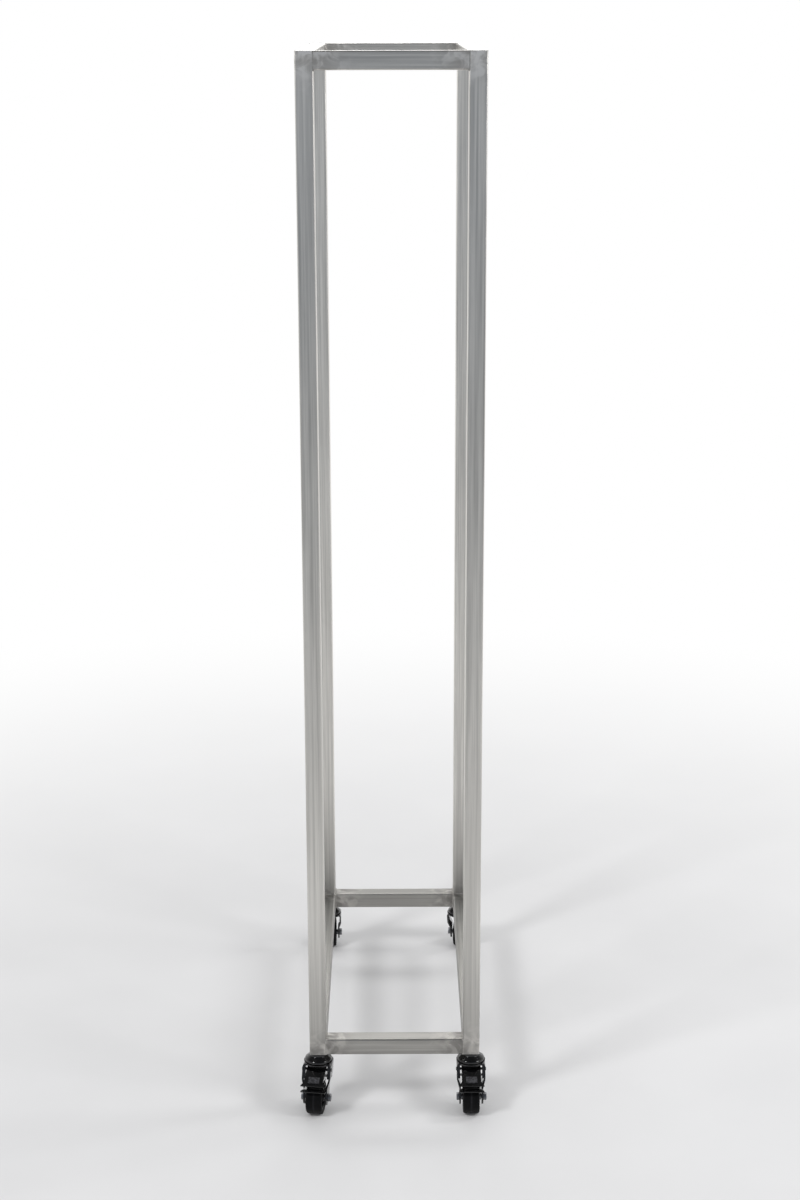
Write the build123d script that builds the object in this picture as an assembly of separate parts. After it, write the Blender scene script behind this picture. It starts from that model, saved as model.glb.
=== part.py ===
from build123d import *
import os

# A tall, narrow firewood rack: a welded box frame of stainless square tube on four swivel casters.
# Millimetres. The origin is on the floor below the middle of the frame, +Z is up, -Y is the narrow
# end that faces the viewer (the front) and +X is to the viewer's right.

# Frame
TUBE = 25.0
TUBE_WALL = 1.5
TUBE_CORNER = 2.2
FRAME_WIDTH = 255.0
FRAME_DEPTH = 555.0
FRAME_HEIGHT = 1460.0
CAP_THICKNESS = 2.0
INSERT_LENGTH = 22.0
INSERT_PLAY = 0.2

# Casters. Each is drawn at its own origin, with the swivel axis on Z, the floor at Z = 0 and the
# wheel trailing towards -Y, and is then turned about Z and moved under its upright.
CASTER_HEIGHT = 88.0
WHEEL_RADIUS = 25.0
TRAIL = 25.0
SWIVEL_ANGLES = {
    "front_left": -8.0,
    "front_right": 0.0,
    "back_left": 180.0,
    "back_right": 172.0,
}
BRAKED = ("front_left", "front_right")

# Swivel head
KING_PIN_RADIUS = 5.0
KING_PIN_PLAY = 0.08
NECK_RADIUS = 13.0
NECK_FOOT = 84.0
HEAD_RADIUS = 20.3
HEAD_RIM_TOP = 78.2
RIVET_RADIUS = 9.0
RIVET_THICKNESS = 2.0
RACE_GAP = 0.3

# Fork, pressed from sheet: a round crown and two legs that step in towards the axle
FORK_SHEET = 2.5
CROWN_RADIUS = 21.8
CROWN_TOP = 74.0
LEG_OUTSIDE_TOP = 21.5
LEG_OUTSIDE_AXLE = 18.0
LEG_STEP_TOP = 53.0
LEG_STEP_BOTTOM = 41.0
LEG_FRONT = -16.0
LEG_BACK = 13.0
LEG_BEND = 5.0
LEG_LIP_REACH = 5.0
LEG_LIP_FOOT = 54.5
AXLE_BOSS_RADIUS = 11.4

# Wheel and axle
WHEEL_WIDTH = 24.6
HUB_RADIUS = 5.0
HUB_LENGTH = 30.4
AXLE_RADIUS = 3.0
AXLE_PLAY = 0.05
HEX_FLATS = 10.0
BOLT_HEAD_HEIGHT = 4.0
NUT_HEIGHT = 5.0

# Brake. Places are (y, z) at rest, with the pedal pressed down and the leaf held on the tyre.
PEDAL_SHEET = 1.5
PEDAL_WIDTH = 28.8
PEDAL_BACK = (-11.5, 68.6)
PEDAL_FACE_TOP = (-33.0, 64.6)
PEDAL_FACE_BOTTOM = (-46.0, 57.6)
PEDAL_LIP = (-50.5, 55.8)
PAD_LENGTH = 11.0
PAD_WIDTH = 17.0
PAD_HEIGHT = 1.5
EAR_RADIUS = 3.7
EAR_REACH = 0.7
NOSE = (-17.0, 54.3)
NOSE_RADIUS = 2.0
PIN = (-13.0, 64.5)
PIN_RADIUS = 2.0
PIN_STANDS_OUT = 1.0
PIN_PLAY = 0.05
LEAF_SHEET = 1.5
LEAF_WIDTH = 28.0
LEAF_GAP = 0.4
LEAF_BACK = -4.0
LEAF_HOOK_FRONT = -9.5
LEAF_WRAP_ANGLE = 22.0
LEAF_LIP = (-52.0, 45.6)
SLOT_PLAY = 0.2
LIP_WIDTH = 38.0
FLARE_START = -43.0
FLARE_END = -49.5

# Worked out from the sizes above
FOOT = CASTER_HEIGHT
TOP = CASTER_HEIGHT + FRAME_HEIGHT
UPRIGHT_X = (FRAME_WIDTH - TUBE) / 2
UPRIGHT_Y = (FRAME_DEPTH - TUBE) / 2
TUBE_INSIDE = TUBE - 2 * TUBE_WALL
AXLE = (-TRAIL, WHEEL_RADIUS)
LEAF_UNDERSIDE = WHEEL_RADIUS + LEAF_GAP
SIDES = {"left": -1, "right": 1}
ENDS = {"front": -1, "back": 1}
RAIL_HEIGHTS = {"bottom": FOOT, "top": TOP - TUBE}


def square_tube(length):
    """A length of square tube standing on the origin."""
    section = RectangleRounded(TUBE, TUBE, TUBE_CORNER) - Rectangle(TUBE_INSIDE, TUBE_INSIDE)
    return extrude(section, length)


def upright():
    return Pos(0, 0, FOOT) * square_tube(FRAME_HEIGHT)


def end_rail():
    """A rail of the narrow ends, along X, butted between two uprights."""
    length = FRAME_WIDTH - 2 * TUBE
    return Pos(-length / 2, 0, TUBE / 2) * Rot(0, 90, 0) * square_tube(length)


def side_rail():
    """A rail of the long sides, along Y, butted between two uprights."""
    length = FRAME_DEPTH - 2 * TUBE
    return Pos(0, length / 2, TUBE / 2) * Rot(90, 0, 0) * square_tube(length)


def upright_cap():
    """A square plate set into the top of an upright, welded and ground flush."""
    return Pos(0, 0, TOP - CAP_THICKNESS / 2) * Box(TUBE_INSIDE, TUBE_INSIDE, CAP_THICKNESS)


def turned(*outline):
    """A piece turned about the swivel axis, from (radius, z) points."""
    return revolve(Plane.XZ * make_face(Polyline(*outline, close=True)), Axis.Z)


def caster_head():
    """The fixed half of the swivel: a square insert in the upright's foot, the head under it, the
    king pin through the fork's crown, and the flange that the pin's end is riveted out to."""
    size = TUBE_INSIDE - INSERT_PLAY
    insert = Pos(0, 0, FOOT + INSERT_LENGTH / 2) * Box(size, size, INSERT_LENGTH)
    rivet_top = CROWN_TOP - FORK_SHEET - RACE_GAP
    rivet_foot = rivet_top - RIVET_THICKNESS
    head_foot = CROWN_TOP + RACE_GAP
    head = turned(
        (0, FOOT),
        (NECK_RADIUS, FOOT),
        (NECK_RADIUS, NECK_FOOT),
        (HEAD_RADIUS, HEAD_RIM_TOP),
        (HEAD_RADIUS, head_foot),
        (KING_PIN_RADIUS, head_foot),
        (KING_PIN_RADIUS, rivet_top),
        (RIVET_RADIUS, rivet_top),
        (RIVET_RADIUS, rivet_foot),
        (0, rivet_foot),
    )
    return insert + head


def across(radius, place, length):
    """A round bar along X, centred on the caster, at a (y, z) place."""
    return Pos(0, *place) * Rot(0, 90, 0) * Cylinder(radius, length)


def bent_sheet(path, thickness, side, width):
    """A strip of sheet that follows a path drawn in (y, z), centred on the caster."""
    outline = make_face(offset(path, amount=thickness, side=side))
    return extrude(Plane.YZ * outline, width / 2, both=True)


def leg_sheet():
    """Half of the bent blank that the fork is pressed from, before its outline is cut."""
    shoulder = (LEG_OUTSIDE_TOP, LEG_STEP_TOP)
    bend = FilletPolyline((0, CROWN_TOP), (LEG_OUTSIDE_TOP, CROWN_TOP), shoulder, radius=LEG_BEND)
    step = Polyline(shoulder, (LEG_OUTSIDE_AXLE, LEG_STEP_BOTTOM), (LEG_OUTSIDE_AXLE, 0))
    path = Wire(bend.edges() + step.edges())
    section = make_face(offset(path, amount=FORK_SHEET, side=Side.RIGHT, kind=Kind.INTERSECTION))
    return extrude(Plane.XZ * section, CROWN_RADIUS + TRAIL, both=True)


def leg_lip(leg_outline):
    """The strip along a leg's front edge that is turned in towards the wheel."""
    inside = LEG_OUTSIDE_TOP - LEG_LIP_REACH
    edge = Plane.YZ * (leg_outline - Pos(FORK_SHEET, 0) * leg_outline)
    strip = Pos(inside, 0, 0) * extrude(edge, LEG_LIP_REACH - FORK_SHEET / 2)
    height = CROWN_TOP - FORK_SHEET / 2 - LEG_LIP_FOOT
    return strip & Pos(0, 0, LEG_LIP_FOOT + height / 2) * Box(4 * CROWN_RADIUS, 4 * TRAIL, height)


def fork(braked):
    """A round crown with a leg bent down on each side, tapering to the boss round the axle. The
    legs' front edges are turned in between the crown and the step, which stiffens them."""
    boss = Pos(*AXLE) * Circle(AXLE_BOSS_RADIUS)
    shoulder = Line((LEG_FRONT, CROWN_TOP), (LEG_BACK, CROWN_TOP))
    leg_outline = make_hull(boss.edges() + shoulder.edges())
    leg = leg_sheet() & extrude(Plane.YZ * leg_outline, 2 * CROWN_RADIUS)
    leg += leg_lip(leg_outline)
    body = leg + mirror(leg, about=Plane.YZ)
    body += Pos(0, 0, CROWN_TOP - FORK_SHEET / 2) * Cylinder(CROWN_RADIUS, FORK_SHEET)
    body -= Cylinder(KING_PIN_RADIUS + KING_PIN_PLAY, 2 * CASTER_HEIGHT)
    body -= across(AXLE_RADIUS + AXLE_PLAY, AXLE, 2 * CASTER_HEIGHT)
    if braked:
        body -= across(PIN_RADIUS + PIN_PLAY, PIN, 2 * CASTER_HEIGHT)
        body -= leaf_hooks(SLOT_PLAY, 2 * CASTER_HEIGHT)
    return body


def wheel():
    """A one-piece wheel with a hub that spaces the fork's legs."""
    hub, tread, bore = HUB_LENGTH / 2, WHEEL_WIDTH / 2, AXLE_RADIUS + AXLE_PLAY
    right = [(hub, bore), (hub, HUB_RADIUS), (tread, HUB_RADIUS), (tread, WHEEL_RADIUS)]
    left = [(-along, radius) for along, radius in reversed(right)]
    return Pos(0, *AXLE) * revolve(make_face(Polyline(*right, *left, close=True)), Axis.X)


def axle_bolt():
    """The bolt that the wheel turns on, its hexagon head on the left leg and its nut on the right."""
    hexagon = Plane.YZ * RegularPolygon(HEX_FLATS / 2, 6, major_radius=False)
    head = Pos(-LEG_OUTSIDE_AXLE, *AXLE) * extrude(hexagon, -BOLT_HEAD_HEIGHT)
    nut = Pos(LEG_OUTSIDE_AXLE, *AXLE) * extrude(hexagon, NUT_HEIGHT)
    return across(AXLE_RADIUS, AXLE, 2 * LEG_OUTSIDE_AXLE) + head + nut


def flared(width):
    """A plan outline of the given width that widens to the lips' width near its front end."""
    half, half_lip, front = width / 2, LIP_WIDTH / 2, 2 * FLARE_END
    outline = Polyline(
        (-half, 0),
        (-half, FLARE_START),
        (-half_lip, FLARE_END),
        (-half_lip, front),
        (half_lip, front),
        (half_lip, FLARE_END),
        (half, FLARE_START),
        (half, 0),
        close=True,
    )
    return extrude(make_face(outline), CASTER_HEIGHT)


def pedal_pad():
    """The raised grip on the pedal's sloping face."""
    bottom = Vector(*PEDAL_FACE_BOTTOM)
    slope = (bottom - Vector(*PEDAL_FACE_TOP)).normalized()
    top = bottom - slope * PAD_LENGTH
    rise = slope.rotate(Axis.Z, -90) * PAD_HEIGHT
    outline = make_face(Polyline(top, bottom, bottom + rise, top + rise, close=True))
    return extrude(Plane.YZ * outline, PAD_WIDTH / 2, both=True)


def pedal_ear():
    """The right-hand cheek. It hangs on the pin, and its nose bears on the leaf from above."""
    top, bottom = Vector(*PEDAL_FACE_TOP), Vector(*PEDAL_FACE_BOTTOM)
    edge = Polyline(PEDAL_BACK, top, top + (bottom - top) * EAR_REACH)
    eye = Pos(*PIN) * Rot(0, 0, 180) * Circle(EAR_RADIUS)
    nose = Pos(*NOSE) * Circle(NOSE_RADIUS)
    outline = make_hull(eye.edges() + nose.edges() + edge.edges())
    return Pos(PEDAL_WIDTH / 2 - PEDAL_SHEET, 0, 0) * extrude(Plane.YZ * outline, PEDAL_SHEET)


def brake_pedal():
    """A pressed channel over the pin: a top plate, a sloping face with its grip and a flared lip,
    and a cheek down each side."""
    path = Polyline(PEDAL_BACK, PEDAL_FACE_TOP, PEDAL_FACE_BOTTOM, PEDAL_LIP)
    plate = bent_sheet(path, PEDAL_SHEET, Side.LEFT, LIP_WIDTH) & flared(PEDAL_WIDTH)
    ear = pedal_ear()
    body = plate + pedal_pad() + ear + mirror(ear, about=Plane.YZ)
    return body - across(PIN_RADIUS + PIN_PLAY, PIN, 2 * PEDAL_WIDTH)


def leaf_hooks(play, width):
    """The bar at the leaf's back end whose tips hook into slots in the fork's legs."""
    depth = LEAF_BACK - LEAF_HOOK_FRONT + 2 * play
    middle = (LEAF_BACK + LEAF_HOOK_FRONT) / 2
    height = WHEEL_RADIUS + LEAF_UNDERSIDE + LEAF_SHEET / 2
    return Pos(0, middle, height) * Box(width, depth, LEAF_SHEET + 2 * play)


def brake_leaf():
    """The spring strip that the pedal holds down: flat, wrapped over the tyre, with a flared lip."""
    top_of_wheel = Vector(*AXLE) + Vector(0, LEAF_UNDERSIDE)
    back = Line((LEAF_BACK, top_of_wheel.Y), top_of_wheel)
    wrap = CenterArc(AXLE, LEAF_UNDERSIDE, 90, LEAF_WRAP_ANGLE)
    lip = Line(wrap @ 1, LEAF_LIP)
    strip = bent_sheet(Wire([back, wrap, lip]), LEAF_SHEET, Side.RIGHT, LIP_WIDTH)
    return (strip & flared(LEAF_WIDTH)) + leaf_hooks(0, 2 * LEG_OUTSIDE_TOP)


def pedal_pin():
    """The pin across the fork that the pedal's ears turn on."""
    return across(PIN_RADIUS, PIN, 2 * (LEG_OUTSIDE_TOP + PIN_STANDS_OUT))


def frame_parts():
    parts = {}
    for end, y_sign in ENDS.items():
        for side, x_sign in SIDES.items():
            parts[f"upright_{end}_{side}"] = Pos(x_sign * UPRIGHT_X, y_sign * UPRIGHT_Y, 0) * upright()
    for level, height in RAIL_HEIGHTS.items():
        for end, y_sign in ENDS.items():
            parts[f"{level}_rail_{end}"] = Pos(0, y_sign * UPRIGHT_Y, height) * end_rail()
        for side, x_sign in SIDES.items():
            parts[f"{level}_rail_{side}"] = Pos(x_sign * UPRIGHT_X, 0, height) * side_rail()
    return parts


def on_every_upright(piece):
    """Four copies of a piece, one on each upright's axis."""
    corners = [Pos(x * UPRIGHT_X, y * UPRIGHT_Y, 0) for y in ENDS.values() for x in SIDES.values()]
    return Compound(children=[corner * piece for corner in corners])


def caster_parts(corner):
    """The pieces of one caster that swivel, in their place under the upright."""
    braked = corner in BRAKED
    pieces = {
        "fork": fork(braked),
        "wheel": wheel(),
        "axle_bolt": axle_bolt(),
    }
    if braked:
        pieces["brake_pedal"] = brake_pedal()
        pieces["brake_leaf"] = brake_leaf()
        pieces["pedal_pin"] = pedal_pin()
    end, side = corner.split("_")
    place = Pos(SIDES[side] * UPRIGHT_X, ENDS[end] * UPRIGHT_Y, 0) * Rot(0, 0, SWIVEL_ANGLES[corner])
    return {f"{name}_{corner}": place * piece for name, piece in pieces.items()}


def main():
    parts = frame_parts()
    parts["upright_caps"] = on_every_upright(upright_cap())
    parts["caster_heads"] = on_every_upright(caster_head())
    for corner in SWIVEL_ANGLES:
        parts.update(caster_parts(corner))
    os.makedirs("parts", exist_ok=True)
    for name, shape in parts.items():
        export_step(shape, f"parts/{name}.step")


main()
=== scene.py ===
import math

import bmesh
import bpy
from mathutils import Matrix, Vector


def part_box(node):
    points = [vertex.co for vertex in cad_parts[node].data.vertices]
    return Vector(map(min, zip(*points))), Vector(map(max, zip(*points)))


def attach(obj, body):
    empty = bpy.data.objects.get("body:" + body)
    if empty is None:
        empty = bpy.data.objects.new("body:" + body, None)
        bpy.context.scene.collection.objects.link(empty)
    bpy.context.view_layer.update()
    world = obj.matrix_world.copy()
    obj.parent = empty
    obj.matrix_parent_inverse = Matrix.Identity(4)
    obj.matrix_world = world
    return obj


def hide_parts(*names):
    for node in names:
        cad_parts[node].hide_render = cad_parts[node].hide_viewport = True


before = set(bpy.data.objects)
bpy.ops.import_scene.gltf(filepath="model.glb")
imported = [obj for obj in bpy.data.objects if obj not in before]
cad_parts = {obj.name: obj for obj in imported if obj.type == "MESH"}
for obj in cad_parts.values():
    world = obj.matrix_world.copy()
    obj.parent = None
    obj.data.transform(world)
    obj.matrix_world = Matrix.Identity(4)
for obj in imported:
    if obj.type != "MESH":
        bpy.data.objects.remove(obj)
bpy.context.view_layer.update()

bl_info = {
    "name": "Firewood Rack",
    "version": (1, 0, 0),
    "blender": (4, 5, 0),
    "location": "View3D > Sidebar > Rack",
    "description": "Dresses the solid model of a stainless firewood rack on braked swivel casters",
    "category": "Object",
}

MM = 0.001

# Each caster's swivel axis on the floor, in metres, and its angle at rest, in degrees: these repeat
# the values that the solid model is built from.
CASTER_PLACES = {
    "front_left": (-0.115, -0.265, -8.0),
    "front_right": (0.115, -0.265, 0.0),
    "back_left": (-0.115, 0.265, 180.0),
    "back_right": (0.115, 0.265, 172.0),
}
BRAKED = ("front_left", "front_right")

# The axle and the pedal's pin in a caster's own frame, as (y, z) in millimetres.
AXLE = (-25.0, 25.0)
PEDAL_PIN = (-13.0, 64.5)

# Turned pieces. Each is a closed outline of (distance from the axis, place along it, rounding), in
# millimetres. The head goes from the upright's foot down to the flange that its pin is riveted out to.
HEAD_LINE = (
    (0, 88, 0),
    (13, 88, 0.4),
    (13, 84, 2.2),
    (20.3, 78.2, 3.0),
    (20.3, 74.3, 0.7),
    (5, 74.3, 0),
    (5, 71.2, 0),
    (9, 71.2, 0.3),
    (9, 69.2, 0.9),
    (0, 69.2, 0),
)
# The extra points across the tread let its colour change from the middle outwards.
TYRE_LINE = (
    (17.5, -11.7, 0.5),
    (20.5, -12.3, 1.0),
    (25, -12.3, 2.8),
    *((25, 0.4 * k, 0) for k in range(-5, 6)),
    (25, 12.3, 2.8),
    (20.5, 12.3, 1.0),
    (17.5, 11.7, 0.5),
)
CORE_LINE = (
    (4.6, -12.0, 0),
    (6.5, -12.0, 0.5),
    (7.0, -3.2, 1.5),
    (15.2, -3.2, 1.5),
    (15.9, -11.0, 0.4),
    (17.5, -11.0, 0),
    (17.5, 11.0, 0),
    (15.9, 11.0, 0.4),
    (15.2, 3.2, 1.5),
    (7.0, 3.2, 1.5),
    (6.5, 12.0, 0.5),
    (4.6, 12.0, 0),
)
# The bearing sleeve is pressed through the core, and its flanges space the fork's legs.
SLEEVE_LINE = (
    (3.05, -15.2, 0),
    (4.2, -15.2, 0.2),
    (5.0, -14.9, 0.2),
    (5.0, -12.4, 0.2),
    (4.6, -12.4, 0),
    (4.6, 12.4, 0),
    (5.0, 12.4, 0.2),
    (5.0, 14.9, 0.2),
    (4.2, 15.2, 0.2),
    (3.05, 15.2, 0),
)
PIN_LINE = (
    (0, -22.6, 0),
    (2.6, -22.6, 0.5),
    (3.1, -21.5, 0.2),
    (2, -21.5, 0),
    (2, 21.5, 0),
    (3.1, 21.5, 0.2),
    (2.6, 22.6, 0.5),
    (0, 22.6, 0),
)

# A spoke of the wheel's core: its length, width and thickness, and its middle's distance from the axle.
SPOKE = {"Length": 10 * MM, "Width": 17 * MM, "Thickness": 1.5 * MM, "Middle": 11 * MM}

# The grip pad on the pedal, in millimetres: the ends of the pedal's sloping face as (y, z), how much of
# it is covered from its foot up, the width, length and thickness of the slab and of a rib, how high
# their middles lie above the face, and how far up it the first and the last rib are.
PEDAL_FACE_FOOT, PEDAL_FACE_HEAD = (-46.0, 57.6), (-33.0, 64.6)
PAD_LENGTH = 11.0
PAD_SLAB, PAD_SLAB_RISE = (17.2, 11.2, 1.7), 0.825
PAD_RIB, PAD_RIB_RISE = (16.6, 1.1, 1.0), 1.5
FIRST_RIB, LAST_RIB = 1.0, 10.0

# The rounding of the bolts' and the brake leaves' edges.
BOLT_EDGE = 0.35 * MM
LEAF_EDGE = 0.3 * MM

# The square tube, and how far below its faces the weld runs are ground.
TUBE = 25 * MM
TUBE_CORNER = 2.2 * MM
GROUND_BELOW = 0.05 * MM

# Each group of tubes is painted brighter or darker as painted light and shade, some brighter than others: the
# back uprights are painted brighter and the bottom rails darker, as light and reflections fell on them.
TUBE_PAINTED_SHADES = {"upright_caps": 0.95, "top": 0.95, "bottom": 0.86, "upright_front": 1.07, "upright_back": 1.22}

# The floor's colour at the dim end behind the camera, painted darker as painted shade, how far it reaches, in
# metres, and the strength of the light that the walls give.
SHADED_FAR_FLOOR = "#A8A9AA"
FLOOR_REACH = 30.0
ROOM_LIGHT = 0.62

# How far from the object, in metres, three changes of the floor begin and end: its own colour gives way
# to the darker far floor colour, which is painted shade, its white comes on ahead of the camera, and all of
# it runs out into the walls.
OWN_COLOUR = (1.4, 3.9)
WHITE_AHEAD = (0.3, 2.3)
RUN_OUT = (4.0, 10.0)

# Each lamp's place, the point that it faces and its size, in metres, and its power in watts.
LAMPS = {
    "key": ((-2.4, -2.2, 3.2), (0, 0, 0.7), (0.8, 0.8), 64),
    "fill": ((2.6, -1.4, 2.2), (0, 0, 0.7), (1.0, 1.0), 31),
    "side": ((2.2, 0.2, 2.8), (0, 0, 0.7), (0.6, 0.6), 18),
    "rim": ((0, 2.6, 2.7), (0, 0, 1.5), (2.4, 0.8), 30),
}

# The camera's place in metres, and its heading, tilt and roll in degrees, from the photograph.
CAMERA_PLACE = (0.0014, -3.0924, 1.6058)
CAMERA_HEADING, CAMERA_TILT, CAMERA_ROLL = -0.1708, -15.9923, -0.1395


def linear(code):
    """An sRGB hex colour as linear red, green and blue."""
    parts = [int(code[i : i + 2], 16) / 255 for i in (1, 3, 5)]
    return tuple(c / 12.92 if c <= 0.04045 else ((c + 0.055) / 1.055) ** 2.4 for c in parts)


class RackSteelSettings(bpy.types.PropertyGroup):
    steel: bpy.props.FloatVectorProperty(
        name="Stainless steel",
        description="Colour of the clean brushed stainless steel",
        subtype="COLOR",
        default=linear("#CDCBC6"),
    )
    ground: bpy.props.FloatVectorProperty(
        name="Ground steel",
        description="Colour where the welds were ground back by hand",
        subtype="COLOR",
        default=linear("#CFCCC7"),
    )
    weld_radius: bpy.props.FloatProperty(
        name="Weld radius",
        description="Radius of the weld run round each rail's end",
        subtype="DISTANCE",
        default=1.6 * MM,
    )
    weld_ripple: bpy.props.FloatProperty(
        name="Weld ripple",
        description="How far the weld's ripples stand out of it",
        subtype="DISTANCE",
        default=0.15 * MM,
    )


class RackCasterSettings(bpy.types.PropertyGroup):
    coating: bpy.props.FloatVectorProperty(
        name="Black coating",
        description="Colour of the casters' black coating",
        subtype="COLOR",
        default=linear("#050506"),
    )
    rubber: bpy.props.FloatVectorProperty(
        name="Tyre rubber",
        description="Colour of the tyres",
        subtype="COLOR",
        default=linear("#070708"),
    )
    plating: bpy.props.FloatVectorProperty(
        name="Zinc plating",
        description="Colour of the bolts, nuts and pins",
        subtype="COLOR",
        default=linear("#7C7D80"),
    )
    edge: bpy.props.FloatProperty(
        name="Edge rounding",
        description="Rounding of the pressed parts' edges",
        subtype="DISTANCE",
        default=0.65 * MM,
    )
    spokes: bpy.props.IntProperty(
        name="Spokes",
        description="Ribs on each side of a wheel's core",
        default=8,
    )
    pedal_ribs: bpy.props.IntProperty(
        name="Pedal ribs",
        description="Raised grip ribs on each brake pedal",
        default=5,
    )


class RackStageSettings(bpy.types.PropertyGroup):
    floor: bpy.props.FloatVectorProperty(
        name="Floor",
        description="Colour of the floor",
        subtype="COLOR",
        default=linear("#D2D2D3"),
    )
    far_end: bpy.props.FloatVectorProperty(
        name="Far end",
        description="Colour of the dim end of the studio, behind the camera",
        subtype="COLOR",
        default=linear("#A5ABB4"),
    )
    lens: bpy.props.FloatProperty(
        name="Lens",
        description="Focal length of the camera, in millimetres",
        default=62.33,
    )


def add(tree, kind, inputs=(), **settings):
    """Adds a node with its settings, and fills each input with a value or another node's output."""
    node = tree.nodes.new(kind)
    for name, value in settings.items():
        setattr(node, name, value)
    for key, value in dict(inputs).items():
        if isinstance(value, bpy.types.NodeSocket):
            tree.links.new(value, node.inputs[key])
        else:
            node.inputs[key].default_value = value
    return node


def new_material(name):
    """An empty node material, and its tree."""
    made = bpy.data.materials.new(name)
    made.use_nodes = True
    made.node_tree.nodes.clear()
    return made, made.node_tree


def finish_material(made, tree, surface):
    """Ends a material's tree in its surface."""
    add(tree, "ShaderNodeOutputMaterial", {"Surface": surface.outputs["BSDF"]})
    return made


def drawn_noise(tree, place, axis, length, width, detail):
    """Noise drawn out along an axis into marks of a length and width."""
    scale = [1 / length if a == axis else 1 / width for a in "XYZ"]
    drawn = add(tree, "ShaderNodeMapping", {"Vector": place, "Scale": scale})
    return add(tree, "ShaderNodeTexNoise", {"Vector": drawn.outputs[0], "Scale": 1.0, "Detail": detail})


def tube_run(axis):
    """The middle and half length, in metres, of the tubes that run along an axis."""
    node = {"X": "top_rail_front", "Y": "top_rail_left", "Z": "upright_front_left"}[axis]
    low, high = (corner["XYZ".index(axis)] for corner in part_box(node))
    return (low + high) / 2, (high - low) / 2


def brushed_stainless(axis, shade):
    """Stainless steel 304, belt-brushed along the tube and ground by hand over the welds."""
    props = bpy.context.scene.rack_steel
    made, tree = new_material(f"brushed stainless steel, grain along {axis}")
    place = add(tree, "ShaderNodeTexCoord").outputs["Object"]
    # Belt scratches are about 0.1 mm wide. They are drawn 0.5 mm wide and 60 mm long, so that they
    # show from a step away, with 3 mm bands of uneven belt pressure over them.
    fine = drawn_noise(tree, place, axis, 60 * MM, 0.5 * MM, 3.0)
    band = drawn_noise(tree, place, axis, 250 * MM, 3 * MM, 2.0)
    # The grinder leaves cloudy swirls some 20 mm across. Each direction of tube has its own, so that a
    # ground seam shows as a step in tone.
    away = add(tree, "ShaderNodeMapping", {"Vector": place, "Location": (0.3 * "XYZ".index(axis), 0, 0)})
    swirl = add(
        tree,
        "ShaderNodeTexNoise",
        {
            "Vector": away.outputs[0],
            "Scale": 1 / (20 * MM),
            "Detail": 3.0,
            "Roughness": 0.5,
            "Distortion": 0.8,
        },
    )
    # The hand grinding covers the ends of a tube, and fades out over 50 mm along a wandering edge.
    middle, half = tube_run(axis)
    parts = add(tree, "ShaderNodeSeparateXYZ", {"Vector": place})
    offset = add(tree, "ShaderNodeMath", {0: parts.outputs[axis], 1: middle}, operation="SUBTRACT")
    reach = add(tree, "ShaderNodeMath", {0: offset.outputs[0]}, operation="ABSOLUTE")
    wander = add(
        tree,
        "ShaderNodeMath",
        {0: swirl.outputs["Fac"], 1: 60 * MM, 2: reach.outputs[0]},
        operation="MULTIPLY_ADD",
    )
    worked = add(
        tree,
        "ShaderNodeMapRange",
        {"Value": wander.outputs[0], "From Min": half - 25 * MM, "From Max": half + 25 * MM},
        interpolation_type="SMOOTHSTEP",
    )
    # shade is painted light and shade for the tube's group: it scales both the brushed and the ground colour
    # below.
    tone = add(
        tree,
        "ShaderNodeMapRange",
        {
            "Value": band.outputs["Fac"],
            "From Min": 0.3,
            "From Max": 0.7,
            "To Min": 0.82 * shade,
            "To Max": 1.12 * shade,
        },
    )
    streak = add(
        tree,
        "ShaderNodeMapRange",
        {"Value": fine.outputs["Fac"], "From Min": 0.3, "From Max": 0.7, "To Min": 0.93, "To Max": 1.06},
    )
    both = add(tree, "ShaderNodeMath", {0: tone.outputs[0], 1: streak.outputs[0]}, operation="MULTIPLY")
    brushed = add(
        tree,
        "ShaderNodeVectorMath",
        {0: list(props.steel), "Scale": both.outputs[0]},
        operation="SCALE",
    )
    cloud = add(
        tree,
        "ShaderNodeMapRange",
        {
            "Value": swirl.outputs["Fac"],
            "From Min": 0.35,
            "From Max": 0.65,
            "To Min": 0.62 * shade,
            "To Max": 1.24 * shade,
        },
        interpolation_type="SMOOTHSTEP",
    )
    ground = add(
        tree,
        "ShaderNodeVectorMath",
        {0: list(props.ground), "Scale": cloud.outputs[0]},
        operation="SCALE",
    )
    colour = add(
        tree,
        "ShaderNodeMix",
        {0: worked.outputs[0], 6: brushed.outputs[0], 7: ground.outputs[0]},
        data_type="RGBA",
    )
    # The lowest 0.3 m is painted darker: painted shade and a painted dark reflection of the floor under the
    # rack.
    low = add(
        tree,
        "ShaderNodeMapRange",
        {"Value": parts.outputs["Z"], "From Min": 0.1, "From Max": 0.32, "To Min": 0.7, "To Max": 1.0},
        interpolation_type="SMOOTHSTEP",
    )
    foot_shaded = add(
        tree,
        "ShaderNodeVectorMath",
        {0: colour.outputs[2], "Scale": low.outputs[0]},
        operation="SCALE",
    )
    brushed_rough = add(
        tree,
        "ShaderNodeMapRange",
        {"Value": band.outputs["Fac"], "From Min": 0.3, "From Max": 0.7, "To Min": 0.32, "To Max": 0.4},
    )
    ground_rough = add(
        tree,
        "ShaderNodeMapRange",
        {"Value": swirl.outputs["Fac"], "From Min": 0.35, "From Max": 0.65, "To Min": 0.5, "To Max": 0.34},
    )
    rough = add(
        tree,
        "ShaderNodeMix",
        {0: worked.outputs[0], 2: brushed_rough.outputs[0], 3: ground_rough.outputs[0]},
        data_type="FLOAT",
    )
    bump = add(
        tree, "ShaderNodeBump", {"Height": fine.outputs["Fac"], "Strength": 0.2, "Distance": 0.06 * MM}
    )
    surface = add(
        tree,
        "ShaderNodeBsdfPrincipled",
        {
            "Base Color": foot_shaded.outputs[0],
            "Metallic": 1.0,
            "Roughness": rough.outputs[0],
            "Normal": bump.outputs[0],
        },
    )
    return finish_material(made, tree, surface)


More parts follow.
